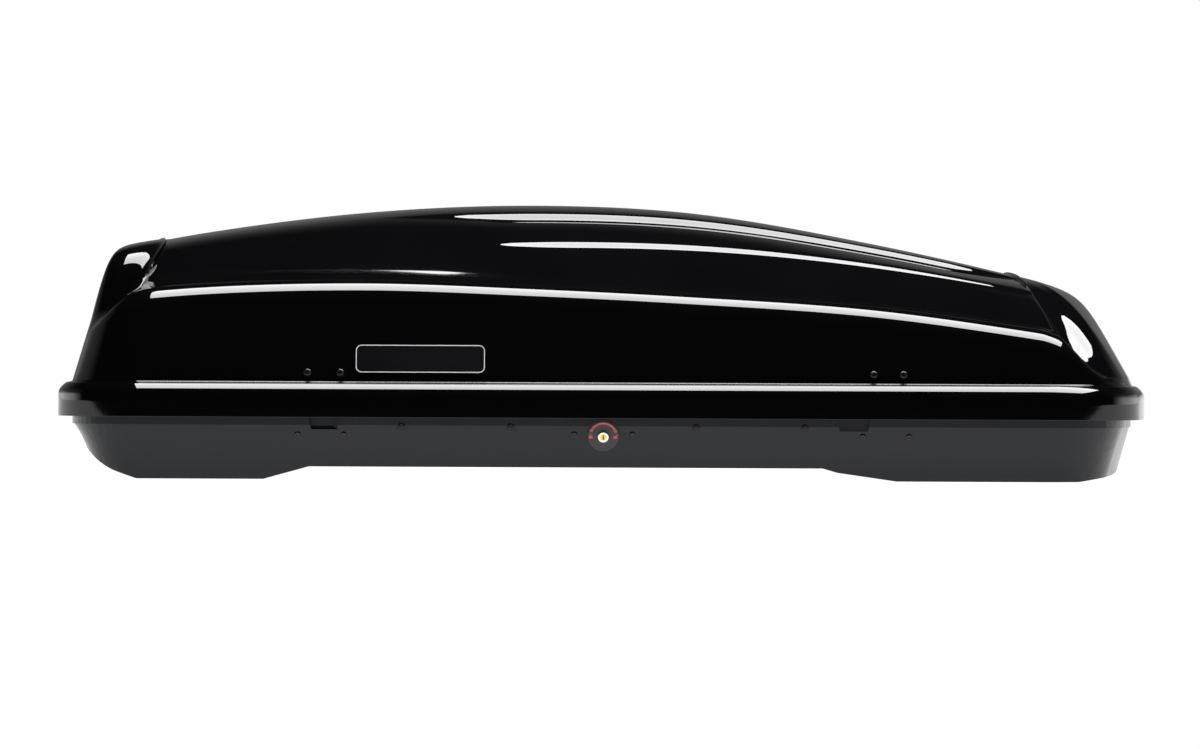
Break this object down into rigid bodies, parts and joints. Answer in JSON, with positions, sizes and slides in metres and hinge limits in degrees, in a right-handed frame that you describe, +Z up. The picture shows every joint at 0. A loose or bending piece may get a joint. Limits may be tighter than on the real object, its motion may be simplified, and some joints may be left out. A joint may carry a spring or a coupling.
{
  "type": "roof cargo box",
  "caption": "Hard-shell roof cargo box: crowned lid on far-side hinges and gas struts, shallow base tray with slotted floor, central key lock.",
  "frame": {"origin": "middle of the footprint at the underside of the base's two low ends", "axes": "+X towards the nose, -Y towards the lock side, +Z up"},
  "size_m": [1.5996, 0.8, 0.402],
  "materials": {
    "lid_plastic": "gloss black",
    "base_plastic": "fine matt texture",
    "inner_plastic": "moulded black",
    "seal_rubber": "soft black",
    "zinc_steel": "zinc plated",
    "black_steel": "satin black paint",
    "screw_black": "black coated",
    "rod_chrome": "polished",
    "barrel_nickel": "nickel plated",
    "plug_brass": "satin brass",
    "disc_grey": "satin dark grey",
    "badge_black": "plain plate with a thin light outline"
  },
  "bodies": {
    "base": {"base_shell": "base_plastic", "rim_seal": "seal_rubber", "floor_rails": "zinc_steel", "rail_rivets": "zinc_steel", "hinge_base_leaves": "black_steel", "hinge_pins": "zinc_steel", "hinge_base_rivets": "zinc_steel", "strut_base_brackets": "zinc_steel", "strut_base_studs": "zinc_steel", "lock_disc": "disc_grey", "lock_barrel": "barrel_nickel", "lock_housing": "inner_plastic", "bar_guides": "inner_plastic", "latch_housings": "inner_plastic", "guide_screws": "screw_black", "latch_screws": "screw_black", "lock_screws": "screw_black"},
    "lid": {"lid_shell": "lid_plastic", "lid_ribs": "inner_plastic", "badge": "badge_black", "hinge_lid_leaves": "black_steel", "hinge_lid_rivets": "zinc_steel", "strut_lid_brackets": "zinc_steel", "strut_lid_studs": "zinc_steel", "lid_catches": "inner_plastic", "catch_studs": "zinc_steel", "catch_screws": "screw_black"},
    "lock_cylinder": {"key_plug": "plug_brass", "lock_cam": "zinc_steel", "cam_screw": "zinc_steel"},
    "locking_bar": {"lock_bar": "zinc_steel", "latch_hooks": "zinc_steel", "hook_rivets": "zinc_steel"},
    "rear_cylinder": {"rear_cylinder_socket": "inner_plastic", "rear_strut_cylinder": "black_steel"},
    "front_cylinder": {"front_cylinder_socket": "inner_plastic", "front_strut_cylinder": "black_steel"},
    "rear_rod": {"rear_rod_socket": "inner_plastic", "rear_strut_rod": "rod_chrome"},
    "front_rod": {"front_rod_socket": "inner_plastic", "front_strut_rod": "rod_chrome"}
  },
  "joints": [
    {"name": "lid_hinge", "type": "hinge", "parent": "base", "child": "lid", "pos_m": [0, 0.391, 0.082], "axis": [-1, 0, 0], "range_deg": [0, 45]},
    {"name": "bar_slide", "type": "slide", "parent": "base", "child": "locking_bar", "axis": [-1, 0, 0], "range_m": [0, 0.0212]},
    {"name": "key_turn", "type": "hinge", "parent": "base", "child": "lock_cylinder", "pos_m": [0, -0.37452, 0.064], "axis": [0, -0.9659, -0.2588], "range_deg": [0, 90.1]},
    {"name": "rear_cylinder_swing", "type": "hinge", "parent": "base", "child": "rear_cylinder", "pos_m": [-0.62, 0.14741, 0.02576], "axis": [-1, 0, 0], "range_deg": [0, 22.6]},
    {"name": "front_cylinder_swing", "type": "hinge", "parent": "base", "child": "front_cylinder", "pos_m": [0.6, 0.14741, 0.02576], "axis": [-1, 0, 0], "range_deg": [0, 22.6]},
    {"name": "rear_rod_swing", "type": "hinge", "parent": "lid", "child": "rear_rod", "pos_m": [-0.62, 0.19671, 0.23933], "axis": [-1, 0, 0], "range_deg": [-22.6, 0]},
    {"name": "front_rod_swing", "type": "hinge", "parent": "lid", "child": "front_rod", "pos_m": [0.6, 0.19671, 0.23933], "axis": [-1, 0, 0], "range_deg": [-22.6, 0]}
  ],
  "couplings": [
    {"joint": "key_turn", "follows": "bar_slide", "rad_per_m": 74.094},
    {"joint": "rear_cylinder_swing", "follows": "lid_hinge", "ratio": 0.5},
    {"joint": "front_cylinder_swing", "follows": "lid_hinge", "ratio": 0.5},
    {"joint": "rear_rod_swing", "follows": "lid_hinge", "ratio": -0.5},
    {"joint": "front_rod_swing", "follows": "lid_hinge", "ratio": -0.5}
  ]
}
